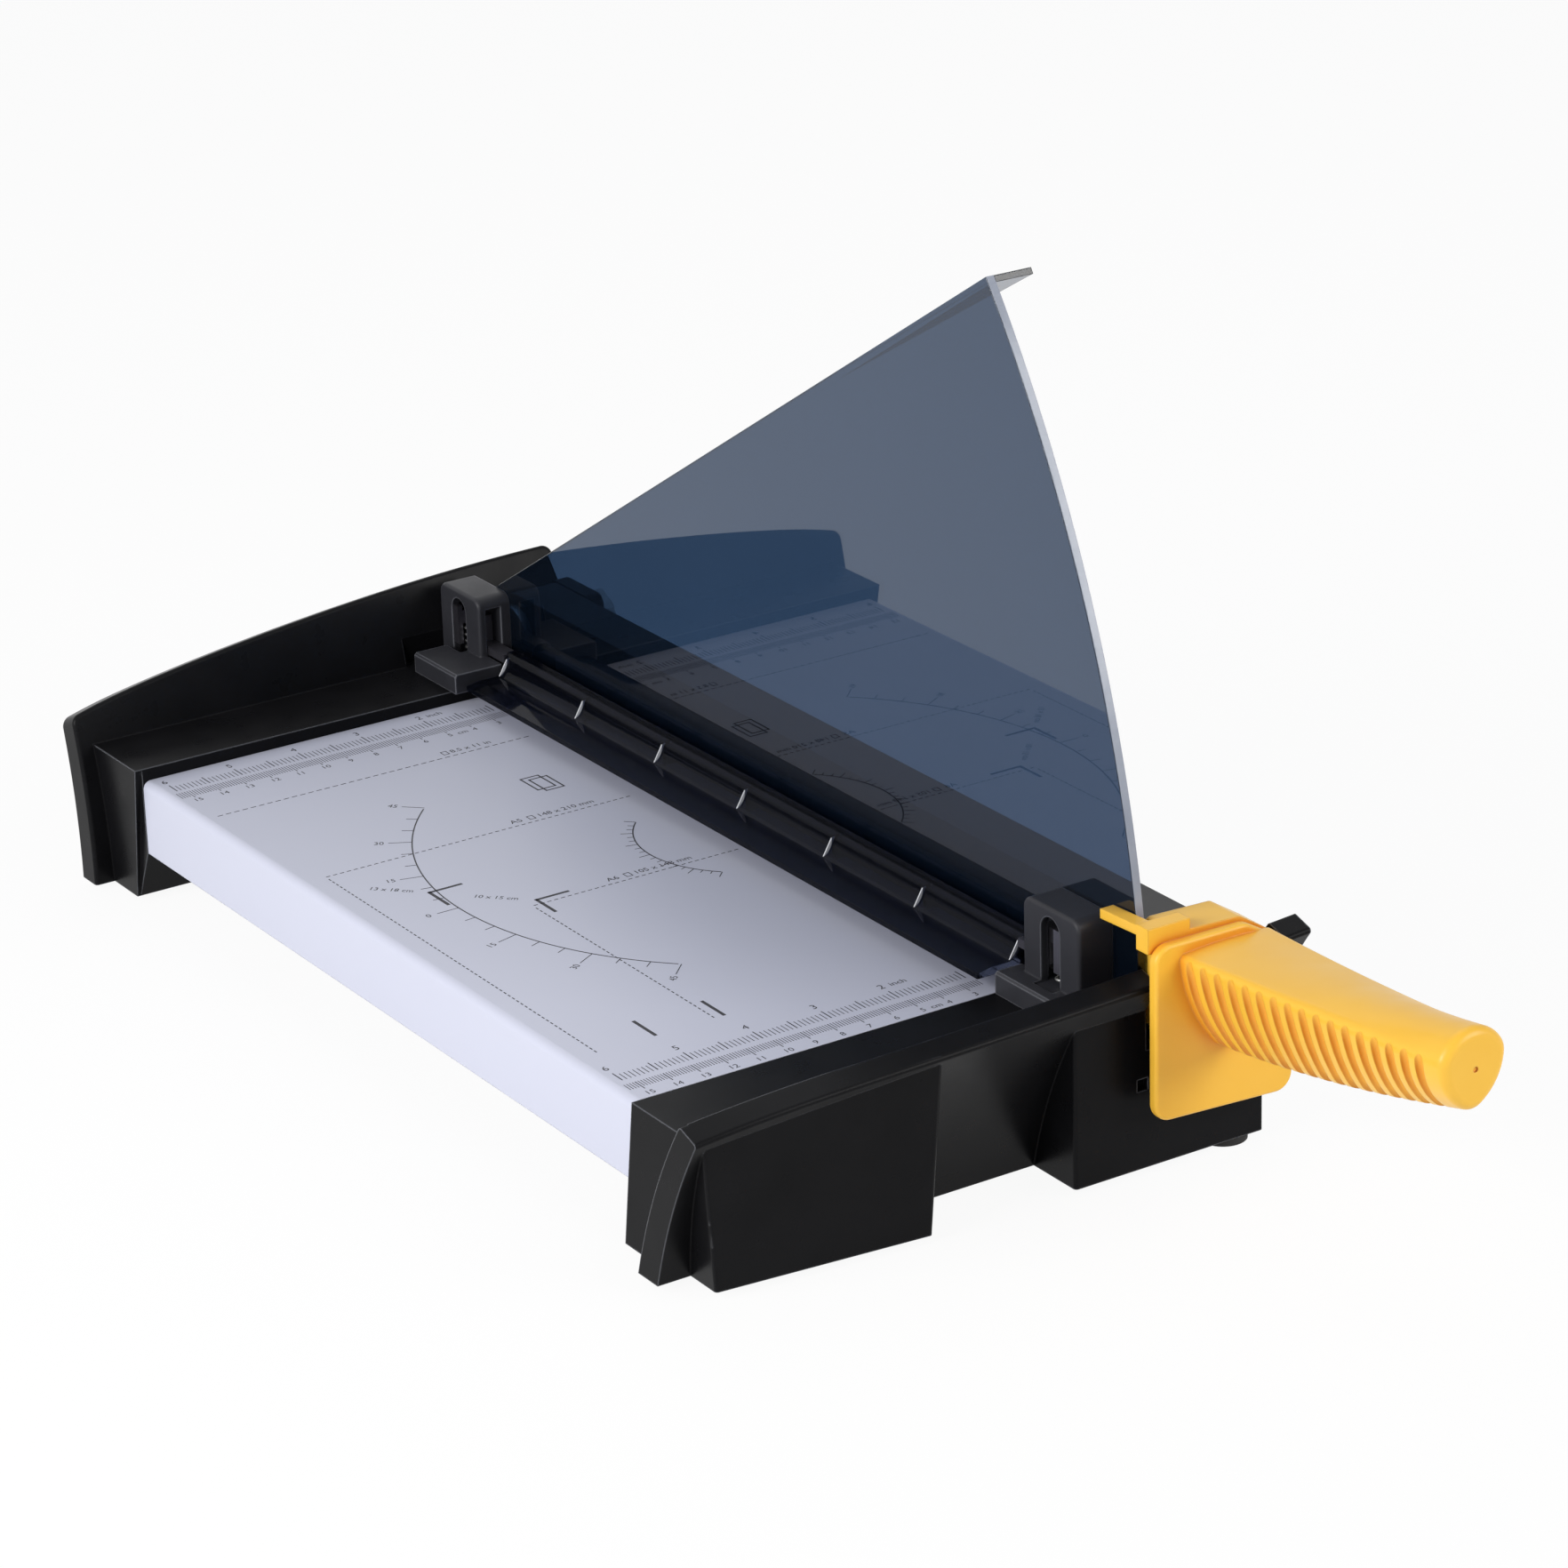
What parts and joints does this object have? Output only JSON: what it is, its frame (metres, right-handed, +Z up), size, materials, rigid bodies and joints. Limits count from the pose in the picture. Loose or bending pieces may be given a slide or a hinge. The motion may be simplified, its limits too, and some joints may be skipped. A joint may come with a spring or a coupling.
{
  "type": "paper trimmer",
  "caption": "Guillotine paper trimmer: printed board between black end caps, sprung clear clamp bar, smoked sector guard and hinged cutting arm with a yellow grip.",
  "frame": {"origin": "table level, under the middle of the whole object's box", "axes": "+Z up, +X from the board towards the blade, +Y from the handle towards the pivot"},
  "size_m": [0.2214, 0.5558, 0.2707],
  "materials": {
    "white_enamel": "satin silver-white enamel",
    "black_plastic": "satin black plastic",
    "smoked_plastic": "glossy smoked plastic",
    "clear_plastic": "clear plastic",
    "yellow_plastic": "satin yellow plastic",
    "black_enamel": "black enamel",
    "steel": "ground steel",
    "bronze": "bearing bronze",
    "rubber": "black rubber"
  },
  "bodies": {
    "base": {"base_board": "white_enamel", "front_end_cap": "black_plastic", "back_end_cap": "black_plastic", "bed_rail": "steel", "lower_blade": "steel", "lower_blade_screws": "steel", "bed_trough": "black_plastic", "trough_screws": "steel", "frame_screws": "steel", "rubber_feet": "rubber", "front_tower": "black_plastic", "back_tower": "black_plastic", "tower_screws": "steel", "guide_pillars": "steel", "front_clamp_spring": "steel", "back_clamp_spring": "steel", "guard": "smoked_plastic", "guard_screws": "steel", "arm_buffer": "rubber", "pivot_bracket": "black_enamel", "bracket_screws": "steel", "pivot_bolt": "steel", "spring_washer": "steel", "flat_washer": "steel", "pivot_nut": "steel"},
    "clamp": {"clamp_bar": "clear_plastic", "front_clamp_lug": "black_plastic", "back_clamp_lug": "black_plastic"},
    "arm": {"blade_arm": "black_enamel", "pivot_bush": "bronze", "upper_blade": "steel", "upper_blade_screws": "steel", "handle": "yellow_plastic", "handle_screws": "steel"}
  },
  "joints": [
    {"name": "arm_swing", "type": "hinge", "parent": "base", "child": "arm", "pos_m": [0.0708, 0.23711, 0.0645], "axis": [-1, 0, 0], "range_deg": [0, 31]},
    {"name": "clamp_slide", "type": "slide", "parent": "base", "child": "clamp", "axis": [0, 0, 1], "range_m": [-0.005, 0], "stiffness_N_per_m": 300, "springref_m": 0.004, "deforming": ["front_clamp_spring", "back_clamp_spring"]}
  ]
}
